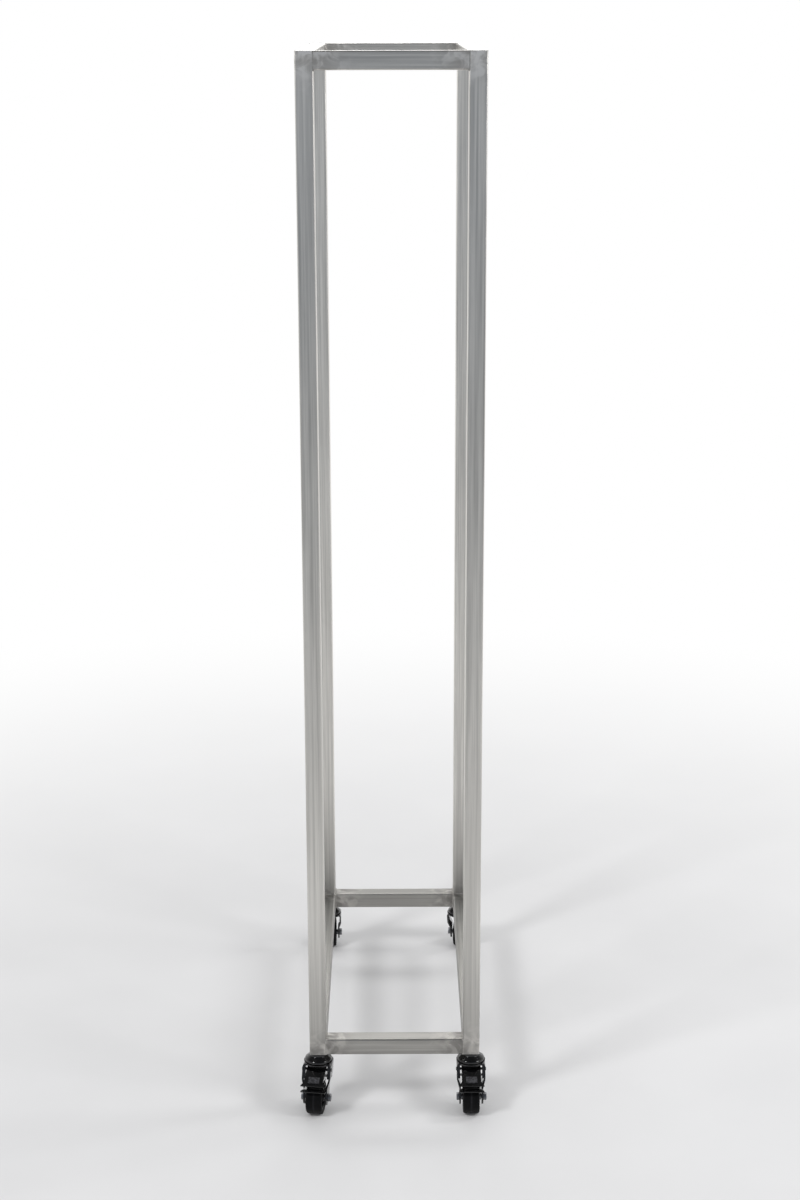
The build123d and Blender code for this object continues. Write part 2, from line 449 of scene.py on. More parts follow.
def weld_metal():
    """Stainless filler metal: a little duller than the tube, with the last of its heat tint."""
    made, tree = new_material("stainless weld metal")
    place = add(tree, "ShaderNodeTexCoord").outputs["Object"]
    patch = add(tree, "ShaderNodeTexNoise", {"Vector": place, "Scale": 1 / (4 * MM), "Detail": 4.0})
    ramp = add(tree, "ShaderNodeValToRGB", {"Fac": patch.outputs["Fac"]})
    ramp.color_ramp.elements[0].position = 0.35
    ramp.color_ramp.elements[0].color = (*linear("#9C9994"), 1)
    ramp.color_ramp.elements[1].position = 0.65
    ramp.color_ramp.elements[1].color = (*linear("#B4B2AE"), 1)
    rough = add(
        tree,
        "ShaderNodeMapRange",
        {"Value": patch.outputs["Fac"], "From Min": 0.3, "From Max": 0.7, "To Min": 0.5, "To Max": 0.38},
    )
    surface = add(
        tree,
        "ShaderNodeBsdfPrincipled",
        {"Base Color": ramp.outputs["Color"], "Metallic": 1.0, "Roughness": rough.outputs[0]},
    )
    return finish_material(made, tree, surface)


def black_coating():
    """Pressed steel dipped in black paint: glossy, with the slight waviness of a dipped film."""
    props = bpy.context.scene.rack_casters
    made, tree = new_material("gloss black paint on pressed steel")
    place = add(tree, "ShaderNodeTexCoord").outputs["Object"]
    # Orange peel has waves 1 to 2 mm long.
    peel = add(tree, "ShaderNodeTexNoise", {"Vector": place, "Scale": 1 / (1.6 * MM), "Detail": 2.0})
    dust = add(tree, "ShaderNodeTexNoise", {"Vector": place, "Scale": 1 / (9 * MM), "Detail": 6.0})
    rough = add(
        tree,
        "ShaderNodeMapRange",
        {"Value": dust.outputs["Fac"], "From Min": 0.3, "From Max": 0.75, "To Min": 0.22, "To Max": 0.4},
    )
    shade = add(
        tree,
        "ShaderNodeMapRange",
        {"Value": dust.outputs["Fac"], "From Min": 0.3, "From Max": 0.75, "To Min": 0.85, "To Max": 1.5},
    )
    colour = add(
        tree, "ShaderNodeVectorMath", {0: list(props.coating), "Scale": shade.outputs[0]}, operation="SCALE"
    )
    bump = add(
        tree, "ShaderNodeBump", {"Height": peel.outputs["Fac"], "Strength": 0.08, "Distance": 0.05 * MM}
    )
    surface = add(
        tree,
        "ShaderNodeBsdfPrincipled",
        {
            "Base Color": colour.outputs[0],
            "Metallic": 0.0,
            "Roughness": rough.outputs[0],
            "IOR": 1.5,
            "Specular IOR Level": 0.05,
            "Coat Weight": 1.0,
            "Coat Roughness": 0.06,
            "Normal": bump.outputs[0],
        },
    )
    return finish_material(made, tree, surface)


def zinc_plating():
    """Bright zinc on steel fasteners: a soft silver shine with a faint crystalline mottle."""
    props = bpy.context.scene.rack_casters
    made, tree = new_material("bright zinc plating")
    place = add(tree, "ShaderNodeTexCoord").outputs["Object"]
    grain = add(tree, "ShaderNodeTexVoronoi", {"Vector": place, "Scale": 1 / (0.9 * MM)})
    tone = add(
        tree,
        "ShaderNodeMapRange",
        {"Value": grain.outputs["Distance"], "From Max": 0.8, "To Min": 0.88, "To Max": 1.06},
    )
    colour = add(
        tree, "ShaderNodeVectorMath", {0: list(props.plating), "Scale": tone.outputs[0]}, operation="SCALE"
    )
    rough = add(
        tree,
        "ShaderNodeMapRange",
        {"Value": grain.outputs["Distance"], "From Max": 0.8, "To Min": 0.24, "To Max": 0.36},
    )
    surface = add(
        tree,
        "ShaderNodeBsdfPrincipled",
        {"Base Color": colour.outputs[0], "Metallic": 1.0, "Roughness": rough.outputs[0]},
    )
    return finish_material(made, tree, surface)


def tyre_rubber():
    """Moulded black rubber: satin, with fine pores and a little pale dust in them."""
    props = bpy.context.scene.rack_casters
    made, tree = new_material("moulded black rubber")
    place = add(tree, "ShaderNodeTexCoord").outputs["Object"]
    pores = add(tree, "ShaderNodeTexNoise", {"Vector": place, "Scale": 1 / (0.7 * MM), "Detail": 4.0})
    dust = add(tree, "ShaderNodeTexNoise", {"Vector": place, "Scale": 1 / (12 * MM), "Detail": 5.0})
    shade = add(
        tree,
        "ShaderNodeMapRange",
        {"Value": dust.outputs["Fac"], "From Min": 0.35, "From Max": 0.75, "To Min": 0.8, "To Max": 1.7},
    )
    # The middle of the tread is scuffed grey, about 2 mm wide, where it bears on the floor.
    across = add(tree, "ShaderNodeAttribute", attribute_name="across")
    offset = add(tree, "ShaderNodeMath", {0: across.outputs["Fac"]}, operation="ABSOLUTE")
    scuff = add(
        tree,
        "ShaderNodeMapRange",
        {
            "Value": offset.outputs[0],
            "From Min": 0.4 * MM,
            "From Max": 1.8 * MM,
            "To Min": 5.0,
            "To Max": 1.0,
        },
    )
    level = add(tree, "ShaderNodeMath", {0: shade.outputs[0], 1: scuff.outputs[0]}, operation="MULTIPLY")
    colour = add(
        tree, "ShaderNodeVectorMath", {0: list(props.rubber), "Scale": level.outputs[0]}, operation="SCALE"
    )
    rough = add(
        tree,
        "ShaderNodeMapRange",
        {"Value": dust.outputs["Fac"], "From Min": 0.35, "From Max": 0.75, "To Min": 0.42, "To Max": 0.62},
    )
    bump = add(
        tree, "ShaderNodeBump", {"Height": pores.outputs["Fac"], "Strength": 0.18, "Distance": 0.1 * MM}
    )
    surface = add(
        tree,
        "ShaderNodeBsdfPrincipled",
        {
            "Base Color": colour.outputs[0],
            "Roughness": rough.outputs[0],
            "IOR": 1.5,
            "Specular IOR Level": 0.1,
            "Normal": bump.outputs[0],
        },
    )
    return finish_material(made, tree, surface)


def core_plastic():
    """Polypropylene, injection moulded in black: low sheen, with a fine spark-eroded grain."""
    made, tree = new_material("moulded black polypropylene")
    place = add(tree, "ShaderNodeTexCoord").outputs["Object"]
    grain = add(tree, "ShaderNodeTexNoise", {"Vector": place, "Scale": 1 / (0.5 * MM), "Detail": 2.0})
    ramp = add(tree, "ShaderNodeValToRGB", {"Fac": grain.outputs["Fac"]})
    ramp.color_ramp.elements[0].color = (*linear("#131314"), 1)
    ramp.color_ramp.elements[1].color = (*linear("#202022"), 1)
    bump = add(
        tree, "ShaderNodeBump", {"Height": grain.outputs["Fac"], "Strength": 0.15, "Distance": 0.05 * MM}
    )
    surface = add(
        tree,
        "ShaderNodeBsdfPrincipled",
        {"Base Color": ramp.outputs["Color"], "Roughness": 0.42, "IOR": 1.49, "Normal": bump.outputs[0]},
    )
    return finish_material(made, tree, surface)


def pad_rubber():
    """A matt grey-black grip pad, scuffed paler by shoes."""
    made, tree = new_material("scuffed rubber grip pad")
    place = add(tree, "ShaderNodeTexCoord").outputs["Object"]
    scuff = add(tree, "ShaderNodeTexNoise", {"Vector": place, "Scale": 1 / (3 * MM), "Detail": 5.0})
    ramp = add(tree, "ShaderNodeValToRGB", {"Fac": scuff.outputs["Fac"]})
    ramp.color_ramp.elements[0].position = 0.35
    ramp.color_ramp.elements[0].color = (*linear("#222224"), 1)
    ramp.color_ramp.elements[1].position = 0.7
    ramp.color_ramp.elements[1].color = (*linear("#4C4C50"), 1)
    surface = add(
        tree,
        "ShaderNodeBsdfPrincipled",
        {"Base Color": ramp.outputs["Color"], "Roughness": 0.6, "IOR": 1.5, "Specular IOR Level": 0.3},
    )
    return finish_material(made, tree, surface)


def link(name, mesh, finish):
    """A new object at the origin with one material."""
    piece = bpy.data.objects.new(name, mesh)
    bpy.context.scene.collection.objects.link(piece)
    mesh.materials.clear()
    mesh.materials.append(finish)
    return piece


def shade_smooth(mesh, angle=35):
    """Smooth shading up to an angle, kept in the mesh."""
    mesh.shade_smooth()
    mesh.set_sharp_from_angle(angle=math.radians(angle))


def merged(build, mesh):
    """Writes a bmesh to a mesh, with its doubles merged, its faces outwards and its shading smooth."""
    bmesh.ops.remove_doubles(build, verts=build.verts, dist=0.001 * MM)
    bmesh.ops.recalc_face_normals(build, faces=build.faces)
    build.to_mesh(mesh)
    build.free()
    shade_smooth(mesh)
    return mesh


def to_mesh(build, name):
    """A new mesh from a bmesh, cleaned in the same way."""
    return merged(build, bpy.data.meshes.new(name))


def rounded(outline, steps=5):
    """The points of a closed outline, with each corner turned into an arc by its own rounding."""
    points = [Vector(corner[:2]) for corner in outline]
    result = []
    for i, here in enumerate(points):
        radius = outline[i][2]
        if radius == 0:
            result.append(here)
            continue
        before = (points[i - 1] - here).normalized()
        after = (points[(i + 1) % len(points)] - here).normalized()
        half = before.angle(after) / 2
        reach = radius / math.tan(half)
        centre = here + (before + after).normalized() * (radius / math.sin(half))
        start, end = here + before * reach - centre, here + after * reach - centre
        turn = start.angle_signed(end)
        result += [centre + Matrix.Rotation(-turn * k / steps, 2) @ start for k in range(steps + 1)]
    return result


def lathe(outline, spin="Z", segments=96, centre=(0, 0)):
    """A solid turned about Z, or about a line along X, from closed (radius, along) points in mm."""
    build = bmesh.new()
    rings = []
    for k in range(segments):
        a = 2 * math.pi * k / segments
        ring = []
        for radius, height in outline:
            if spin == "Z":
                at = (radius * math.cos(a), radius * math.sin(a), height)
            else:
                at = (height, centre[0] + radius * math.cos(a), centre[1] + radius * math.sin(a))
            ring.append(build.verts.new(Vector(at) * MM))
        rings.append(ring)
    size = len(outline)
    for k in range(segments):
        one, two = rings[k], rings[(k + 1) % segments]
        for i in range(size):
            j = (i + 1) % size
            if outline[i][0] == 0 and outline[j][0] == 0:
                continue
            build.faces.new((one[i], one[j], two[j], two[i]))
    bmesh.ops.remove_doubles(build, verts=build.verts, dist=0.001 * MM)
    bmesh.ops.dissolve_degenerate(build, edges=build.edges, dist=0.0005 * MM)
    return build


def caster_place(corner):
    """From a caster's own origin, on the floor below its swivel axis, to its place."""
    x, y, angle = CASTER_PLACES[corner]
    return Matrix.Translation((x, y, 0)) @ Matrix.Rotation(math.radians(angle), 4, "Z")


def evaluated_mesh(piece):
    """The plain mesh that a piece's modifiers give, with its sharp edges kept."""
    graph = bpy.context.evaluated_depsgraph_get()
    return bpy.data.meshes.new_from_object(piece.evaluated_get(graph), depsgraph=graph)


def softened(node, name, finish, width):
    """A copy of a solid with its edges rounded as pressing and tumbling leave them."""
    # A solid's mesh is loose triangles. They are merged, and its flat faces made whole, before that.
    build = bmesh.new()
    build.from_mesh(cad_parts[node].data)
    bmesh.ops.remove_doubles(build, verts=build.verts, dist=0.002 * MM)
    bmesh.ops.dissolve_limit(
        build, angle_limit=math.radians(0.8), verts=build.verts, edges=build.edges, delimit=set()
    )
    mesh = bpy.data.meshes.new(name)
    build.to_mesh(mesh)
    build.free()
    piece = link(name, mesh, finish)
    bevel = piece.modifiers.new("edges", "BEVEL")
    bevel.width = width
    bevel.segments = 3
    # Edges of less than 50 degrees are the facets of bends and bores, and stay as they are.
    bevel.limit_method = "ANGLE"
    bevel.angle_limit = math.radians(50)
    bevel.use_clamp_overlap = True
    result = evaluated_mesh(piece)
    bpy.data.objects.remove(piece)
    bpy.data.meshes.remove(mesh)
    shade_smooth(result, 40)
    return link(name, result, finish)


def new_tree(name, **sizes):
    """A geometry node tree with its geometry sockets and an input for each size: Float, Int or Vector."""
    tree = bpy.data.node_groups.new(name, "GeometryNodeTree")
    tree.interface.new_socket("Geometry", in_out="INPUT", socket_type="NodeSocketGeometry")
    for label, kind in sizes.items():
        tree.interface.new_socket(label, in_out="INPUT", socket_type=f"NodeSocket{kind}")
    tree.interface.new_socket("Geometry", in_out="OUTPUT", socket_type="NodeSocketGeometry")
    return tree, add(tree, "NodeGroupInput")


def end_tree(tree, geometry, finish):
    """Ends a tree in real geometry with its material."""
    real = add(tree, "GeometryNodeRealizeInstances", {"Geometry": geometry})
    dressed = add(tree, "GeometryNodeSetMaterial", {"Geometry": real.outputs[0], "Material": finish})
    add(tree, "NodeGroupOutput", {0: dressed.outputs[0]})


def grown(tree, start, name, finish, **sizes):
    """Runs a tree with its sizes on a starting mesh, and gives its result as a plain object."""
    piece = link(name + " start", start, finish)
    modifier = piece.modifiers.new(tree.name, "NODES")
    modifier.node_group = tree
    for socket in tree.interface.items_tree:
        if socket.in_out == "INPUT" and socket.name in sizes:
            modifier[socket.identifier] = sizes[socket.name]
    piece.update_tag()
    bpy.context.view_layer.update()
    mesh = evaluated_mesh(piece)
    piece.modifiers.remove(modifier)
    bpy.data.objects.remove(piece)
    build = bmesh.new()
    build.from_mesh(mesh)
    mesh.name = name
    return link(name, merged(build, mesh), finish)


def weld_tree(finish):
    """A rippled run round each rail's end, ground flush where it would stand out of the frame."""
    tree, given = new_tree(
        "weld runs",
        Tube="Float",
        Corner="Float",
        Radius="Float",
        Ripple="Float",
        Lowest="Vector",
        Highest="Vector",
    )
    square = add(
        tree,
        "GeometryNodeCurvePrimitiveQuadrilateral",
        {"Width": given.outputs["Tube"], "Height": given.outputs["Tube"]},
    )
    rounded_square = add(
        tree,
        "GeometryNodeFilletCurve",
        {"Curve": square.outputs[0], "Radius": given.outputs["Corner"], "Count": 4, "Limit Radius": True},
        mode="POLY",
    )
    path = add(tree, "GeometryNodeResampleCurve", {"Curve": rounded_square.outputs[0], "Count": 150})
    section = add(
        tree,
        "GeometryNodeCurvePrimitiveCircle",
        {"Resolution": 14, "Radius": given.outputs["Radius"]},
    )
    run = add(
        tree,
        "GeometryNodeCurveToMesh",
        {"Curve": path.outputs[0], "Profile Curve": section.outputs[0]},
    )
    turn = add(tree, "GeometryNodeInputNamedAttribute", {"Name": "turn"}, data_type="FLOAT_VECTOR")
    ends = add(
        tree,
        "GeometryNodeInstanceOnPoints",
        {"Points": given.outputs["Geometry"], "Instance": run.outputs[0], "Rotation": turn.outputs[0]},
    )
    real = add(tree, "GeometryNodeRealizeInstances", {"Geometry": ends.outputs[0]})
    # The ripples of a hand-fed weld are about 1.5 mm apart.
    ripple = add(tree, "ShaderNodeTexNoise", {"Scale": 1 / (1.5 * MM), "Detail": 1.0})
    push = add(
        tree,
        "ShaderNodeMapRange",
        {"Value": ripple.outputs["Fac"], "From Min": 0.3, "From Max": 0.7, "To Min": -1.0},
    )
    height = add(
        tree, "ShaderNodeMath", {0: push.outputs[0], 1: given.outputs["Ripple"]}, operation="MULTIPLY"
    )
    normal = add(tree, "GeometryNodeInputNormal")
    shift = add(
        tree, "ShaderNodeVectorMath", {0: normal.outputs[0], "Scale": height.outputs[0]}, operation="SCALE"
    )
    rippled = add(tree, "GeometryNodeSetPosition", {"Geometry": real.outputs[0], "Offset": shift.outputs[0]})
    place = add(tree, "GeometryNodeInputPosition")
    below = add(
        tree,
        "ShaderNodeVectorMath",
        {0: place.outputs[0], 1: given.outputs["Highest"]},
        operation="MINIMUM",
    )
    above = add(
        tree,
        "ShaderNodeVectorMath",
        {0: below.outputs[0], 1: given.outputs["Lowest"]},
        operation="MAXIMUM",
    )
    ground = add(
        tree, "GeometryNodeSetPosition", {"Geometry": rippled.outputs[0], "Position": above.outputs[0]}
    )
    end_tree(tree, ground.outputs[0], finish)
    return tree


def spoke_tree(finish):
    """A wheel core with its ribs: bars set round the axle on both sides of the web."""
    tree, given = new_tree(
        "wheel spokes", Spokes="Int", Length="Float", Width="Float", Thickness="Float", Middle="Float"
    )
    size = add(
        tree,
        "ShaderNodeCombineXYZ",
        {"X": given.outputs["Width"], "Y": given.outputs["Length"], "Z": given.outputs["Thickness"]},
    )
    bar = add(tree, "GeometryNodeMeshCube", {"Size": size.outputs[0]})
    out = add(tree, "ShaderNodeCombineXYZ", {"Y": given.outputs["Middle"]})
    moved = add(tree, "GeometryNodeTransform", {"Geometry": bar.outputs[0], "Translation": out.outputs[0]})
    spots = add(tree, "GeometryNodePoints", {"Count": given.outputs["Spokes"]})
    index = add(tree, "GeometryNodeInputIndex")
    share = add(
        tree, "ShaderNodeMath", {0: index.outputs[0], 1: given.outputs["Spokes"]}, operation="DIVIDE"
    )
    angle = add(tree, "ShaderNodeMath", {0: share.outputs[0], 1: 2 * math.pi}, operation="MULTIPLY")
    turn = add(tree, "ShaderNodeCombineXYZ", {"X": angle.outputs[0]})
    ring = add(
        tree,
        "GeometryNodeInstanceOnPoints",
        {"Points": spots.outputs[0], "Instance": moved.outputs[0], "Rotation": turn.outputs[0]},
    )
    joined = add(tree, "GeometryNodeJoinGeometry", {0: ring.outputs[0]})
    tree.links.new(given.outputs["Geometry"], joined.inputs[0])
    end_tree(tree, joined.outputs[0], finish)
    return tree


def grip_tree(finish):
    """A grip pad with raised ribs across it."""
    tree, given = new_tree(
        "pedal grip", Ribs="Int", Rib="Vector", First="Vector", Last="Vector", Slope="Float"
    )
    rail = add(
        tree,
        "GeometryNodeCurvePrimitiveLine",
        {"Start": given.outputs["First"], "End": given.outputs["Last"]},
    )
    spots = add(tree, "GeometryNodeCurveToPoints", {"Curve": rail.outputs[0], "Count": given.outputs["Ribs"]})
    bar = add(tree, "GeometryNodeMeshCube", {"Size": given.outputs["Rib"]})
    turn = add(tree, "ShaderNodeCombineXYZ", {"X": given.outputs["Slope"]})
    ribs = add(
        tree,
        "GeometryNodeInstanceOnPoints",
        {"Points": spots.outputs[0], "Instance": bar.outputs[0], "Rotation": turn.outputs[0]},
    )
    joined = add(tree, "GeometryNodeJoinGeometry", {0: ribs.outputs[0]})
    tree.links.new(given.outputs["Geometry"], joined.inputs[0])
    end_tree(tree, joined.outputs[0], finish)
    return tree


def grain_axis(node):
    """The axis that a tube, or the cap of one, is brushed along."""
    if node.startswith(("upright_front", "upright_back")):
        return "Z"
    return "Y" if node.endswith(("left", "right")) else "X"


class RACK_OT_tubes(bpy.types.Operator):
    """Gives the frame's tubes and caps their brushed finish, with the grain along each tube"""

    bl_idname = "rack.tubes"
    bl_label = "Tubes"

    def execute(self, context):
        finishes = {}
        for node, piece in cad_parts.items():
            # Each group's painted light and shade comes from the table of tube shades.
            lit_group = next((key for key in TUBE_PAINTED_SHADES if node.startswith(key)), None)
            if lit_group is None:
                continue
            axis = grain_axis(node)
            if (lit_group, axis) not in finishes:
                finishes[lit_group, axis] = brushed_stainless(axis, TUBE_PAINTED_SHADES[lit_group])
            piece.data.materials.clear()
            piece.data.materials.append(finishes[lit_group, axis])
        return {"FINISHED"}


class RACK_OT_welds(bpy.types.Operator):
    """Adds the weld runs between rails and uprights, ground flush outside"""

    bl_idname = "rack.welds"
    bl_label = "Welds"

    def execute(self, context):
        props = context.scene.rack_steel
        finish = weld_metal()
        low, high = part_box("upright_front_left")[0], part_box("upright_back_right")[1]
        below = Vector((1, 1, 1)) * GROUND_BELOW
        start = bpy.data.meshes.new("rail ends")
        places, turns = [], []
        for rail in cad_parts:
            if "_rail_" not in rail:
                continue
            corner_low, corner_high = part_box(rail)
            middle = (corner_low + corner_high) / 2
            axis = 1 if rail.endswith(("left", "right")) else 0
            for end in (corner_low[axis], corner_high[axis]):
                at = middle.copy()
                at[axis] = end
                places.append(at)
                turns.append((math.pi / 2, 0, 0) if axis else (0, math.pi / 2, 0))
        start.from_pydata(places, [], [])
        attribute = start.attributes.new("turn", "FLOAT_VECTOR", "POINT")
        attribute.data.foreach_set("vector", [v for turn in turns for v in turn])
        piece = grown(
            weld_tree(finish),
            start,
            "weld_runs",
            finish,
            Tube=TUBE,
            Corner=TUBE_CORNER,
            Radius=props.weld_radius,
            Ripple=props.weld_ripple,
            Lowest=low + below,
            Highest=high - below,
        )
        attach(piece, "frame")
        return {"FINISHED"}


class RACK_OT_heads(bpy.types.Operator):
    """Makes the four caster heads, with their king pins and riveted flanges"""

    bl_idname = "rack.heads"
    bl_label = "Caster heads"

    def execute(self, context):
        finish = black_coating()
        whole = bmesh.new()
        for corner in CASTER_PLACES:
            head = lathe(rounded(HEAD_LINE))
            head.transform(caster_place(corner))
            part = bpy.data.meshes.new("head")
            head.to_mesh(part)
            head.free()
            whole.from_mesh(part)
            bpy.data.meshes.remove(part)
        piece = link("caster_heads_dressed", to_mesh(whole, "caster_heads_dressed"), finish)
        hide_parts("caster_heads")
        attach(piece, "frame")
        return {"FINISHED"}


class RACK_OT_forks(bpy.types.Operator):
    """Makes the four forks with the rounded edges of pressed sheet"""

    bl_idname = "rack.forks"
    bl_label = "Forks"

    def execute(self, context):
        finish = black_coating()
        width = context.scene.rack_casters.edge
        for corner in CASTER_PLACES:
            piece = softened(f"fork_{corner}", f"fork_{corner}_dressed", finish, width)
            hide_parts(f"fork_{corner}")
            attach(piece, f"caster_{corner}")
        return {"FINISHED"}


class RACK_OT_wheels(bpy.types.Operator):
    """Makes each wheel's tyre, ribbed core and bearing sleeve"""

    bl_idname = "rack.wheels"
    bl_label = "Wheels"

    def execute(self, context):
        rubber, plastic, zinc = tyre_rubber(), core_plastic(), zinc_plating()
        spokes = context.scene.rack_casters.spokes
        tree = spoke_tree(plastic)
        for corner in CASTER_PLACES:
            axle = caster_place(corner) @ Matrix.Translation(Vector((0, *AXLE)) * MM)
            tyre = to_mesh(lathe(rounded(TYRE_LINE, 8), spin="X", segments=128), f"tyre_{corner}")
            sleeve = to_mesh(lathe(rounded(SLEEVE_LINE, 3), spin="X", segments=48), f"sleeve_{corner}")
            core = to_mesh(lathe(rounded(CORE_LINE), spin="X"), f"core_{corner}")
            across = tyre.attributes.new("across", "FLOAT", "POINT")
            across.data.foreach_set("value", [v.co.x for v in tyre.vertices])
            tyre_piece = link(f"tyre_{corner}", tyre, rubber)
            sleeve_piece = link(f"bearing_sleeve_{corner}", sleeve, zinc)
            core_piece = grown(tree, core, f"wheel_core_{corner}", plastic, Spokes=spokes, **SPOKE)
            slots = {tyre_piece: "wheel_rubber", core_piece: "wheel_rubber", sleeve_piece: "zinc_plated"}
            for piece, slot in slots.items():
                piece.data.transform(axle)
                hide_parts(f"wheel_{corner}")
                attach(piece, f"wheel_{corner}")
        return {"FINISHED"}


class RACK_OT_bolts(bpy.types.Operator):
    """Makes each axle's bolt and nut"""

    bl_idname = "rack.bolts"
    bl_label = "Axle bolts"

    def execute(self, context):
        finish = zinc_plating()
        for corner in CASTER_PLACES:
            piece = softened(f"axle_bolt_{corner}", f"axle_bolt_{corner}_dressed", finish, BOLT_EDGE)
            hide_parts(f"axle_bolt_{corner}")
            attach(piece, f"caster_{corner}")
        return {"FINISHED"}


class RACK_OT_brakes(bpy.types.Operator):
    """Makes the brake pedals with their grip pads, the leaves and the riveted pins"""

    bl_idname = "rack.brakes"
    bl_label = "Brakes"

    def execute(self, context):
        props = context.scene.rack_casters
        coating, rubber = black_coating(), pad_rubber()
        tree = grip_tree(rubber)
        foot, head = Vector((0, *PEDAL_FACE_FOOT)), Vector((0, *PEDAL_FACE_HEAD))
        run = (head - foot).normalized()
        rise = run.cross(Vector((-1, 0, 0)))
        slope = math.atan2(run.z, run.y)
        for corner in BRAKED:
            place = caster_place(corner)
            pedal = softened(f"brake_pedal_{corner}", f"brake_pedal_{corner}_dressed", coating, props.edge)
            slab = bmesh.new()
            bmesh.ops.create_cube(slab, size=1.0)
            slab.transform(
                Matrix.Translation((foot + run * PAD_LENGTH / 2 + rise * PAD_SLAB_RISE) * MM)
                @ Matrix.Rotation(slope, 4, "X")
                @ Matrix.Diagonal((*Vector(PAD_SLAB) * MM, 1))
            )
            bmesh.ops.bevel(slab, geom=slab.edges, offset=0.4 * MM, segments=3, affect="EDGES")
            grip = grown(
                tree,
                to_mesh(slab, f"pad {corner}"),
                f"pedal_pad_{corner}",
                rubber,
                Ribs=props.pedal_ribs,
                Rib=Vector(PAD_RIB) * MM,
                First=(foot + run * FIRST_RIB + rise * PAD_RIB_RISE) * MM,
                Last=(foot + run * LAST_RIB + rise * PAD_RIB_RISE) * MM,
                Slope=slope,
            )
            grip.data.transform(place)
            for piece in (pedal, grip):
                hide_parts(f"brake_pedal_{corner}")
                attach(piece, f"pedal_{corner}")
            leaf = softened(f"brake_leaf_{corner}", f"brake_leaf_{corner}_dressed", coating, LEAF_EDGE)
            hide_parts(f"brake_leaf_{corner}")
            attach(leaf, f"caster_{corner}")
            pin = lathe(rounded(PIN_LINE), spin="X", segments=40, centre=PEDAL_PIN)
            piece = link(f"pedal_pin_{corner}_dressed", to_mesh(pin, f"pin_{corner}"), coating)
            piece.data.transform(place)
            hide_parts(f"pedal_pin_{corner}")
            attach(piece, f"caster_{corner}")
        return {"FINISHED"}


def seen_rays(tree):
    """One for what the camera, a mirror or glass sees, and zero for the light on other things."""
    rays = add(tree, "ShaderNodeLightPath").outputs
    seen = rays["Is Camera Ray"]
    for kind in ("Is Glossy Ray", "Is Transmission Ray"):
        seen = add(tree, "ShaderNodeMath", {0: seen, 1: rays[kind]}, operation="MAXIMUM").outputs[0]
    return seen


def end_tint(tree, forward, far_end):
    """How far a direction is from the dim end behind the camera, from 0 to 1, and the walls' colour."""
    ahead = add(
        tree,
        "ShaderNodeMapRange",
        {"Value": forward, "From Min": -0.75, "From Max": 0.0},
        interpolation_type="SMOOTHSTEP",
    )
    tint = add(
        tree, "ShaderNodeMix", {0: ahead.outputs[0], 6: (*far_end, 1), 7: (1, 1, 1, 1)}, data_type="RGBA"
    )
    return ahead.outputs[0], tint.outputs[2]


def stage_floor(colour, far_end):
    """A wide flat floor in pale matt paint, which runs out into the walls away from the object."""
    made, tree = new_material("pale matt floor paint")
    place = add(tree, "ShaderNodeTexCoord").outputs["Object"]
    wear = add(tree, "ShaderNodeTexNoise", {"Vector": place, "Scale": 3.0, "Detail": 4.0})
    tone = add(
        tree,
        "ShaderNodeMapRange",
        {"Value": wear.outputs["Fac"], "From Min": 0.3, "From Max": 0.7, "To Min": 0.97, "To Max": 1.02},
    )
    # The floor's colour is painted darker toward the end behind the camera, as painted shade for a studio's
    # dim end, because the front faces mirror it.
    way = add(tree, "ShaderNodeVectorMath", {0: place}, operation="NORMALIZE")
    parts = add(tree, "ShaderNodeSeparateXYZ", {"Vector": way.outputs[0]})
    ahead, walls = end_tint(tree, parts.outputs["Y"], far_end)
    flat = add(tree, "ShaderNodeVectorMath", {0: place}, operation="LENGTH")
    close = add(
        tree,
        "ShaderNodeMapRange",
        {"Value": flat.outputs["Value"], "From Min": OWN_COLOUR[1], "From Max": OWN_COLOUR[0]},
        interpolation_type="SMOOTHSTEP",
    )
    light = add(tree, "ShaderNodeMath", {0: ahead, 1: close.outputs[0]}, operation="MAXIMUM")
    tint = add(
        tree,
        "ShaderNodeMix",
        {0: light.outputs[0], 6: (*linear(SHADED_FAR_FLOOR), 1), 7: (*colour, 1)},
        data_type="RGBA",
    )
    shade = add(
        tree,
        "ShaderNodeVectorMath",
        {0: tint.outputs[2], "Scale": tone.outputs[0]},
        operation="SCALE",
    )
    surface = add(tree, "ShaderNodeBsdfPrincipled", {"Base Color": shade.outputs[0], "Roughness": 0.85})
    # Seen by the camera or in a mirror, the floor turns into a surface that gives the walls' own light.
    far = add(
        tree,
        "ShaderNodeMapRange",
        {"Value": flat.outputs["Value"], "From Min": WHITE_AHEAD[0], "From Max": WHITE_AHEAD[1]},
        interpolation_type="SMOOTHSTEP",
    )
    fade = add(tree, "ShaderNodeMath", {0: far.outputs[0], 1: ahead}, operation="MULTIPLY")
    horizon = add(
        tree,
        "ShaderNodeMapRange",
        {"Value": flat.outputs["Value"], "From Min": RUN_OUT[0], "From Max": RUN_OUT[1]},
        interpolation_type="SMOOTHSTEP",
    )
    both = add(tree, "ShaderNodeMath", {0: fade.outputs[0], 1: horizon.outputs[0]}, operation="MAXIMUM")
    share = add(tree, "ShaderNodeMath", {0: both.outputs[0], 1: seen_rays(tree)}, operation="MULTIPLY")
    glow = add(tree, "ShaderNodeEmission", {"Color": walls, "Strength": 1.0})
    mixed = add(
        tree,
        "ShaderNodeMixShader",
        {0: share.outputs[0], 1: surface.outputs[0], 2: glow.outputs[0]},
    )
    add(tree, "ShaderNodeOutputMaterial", {"Surface": mixed.outputs[0]})
    build = bmesh.new()
    bmesh.ops.create_grid(build, x_segments=1, y_segments=1, size=FLOOR_REACH)
    mesh = bpy.data.meshes.new("floor")
    build.to_mesh(mesh)
    build.free()
    return link("floor", mesh, made)


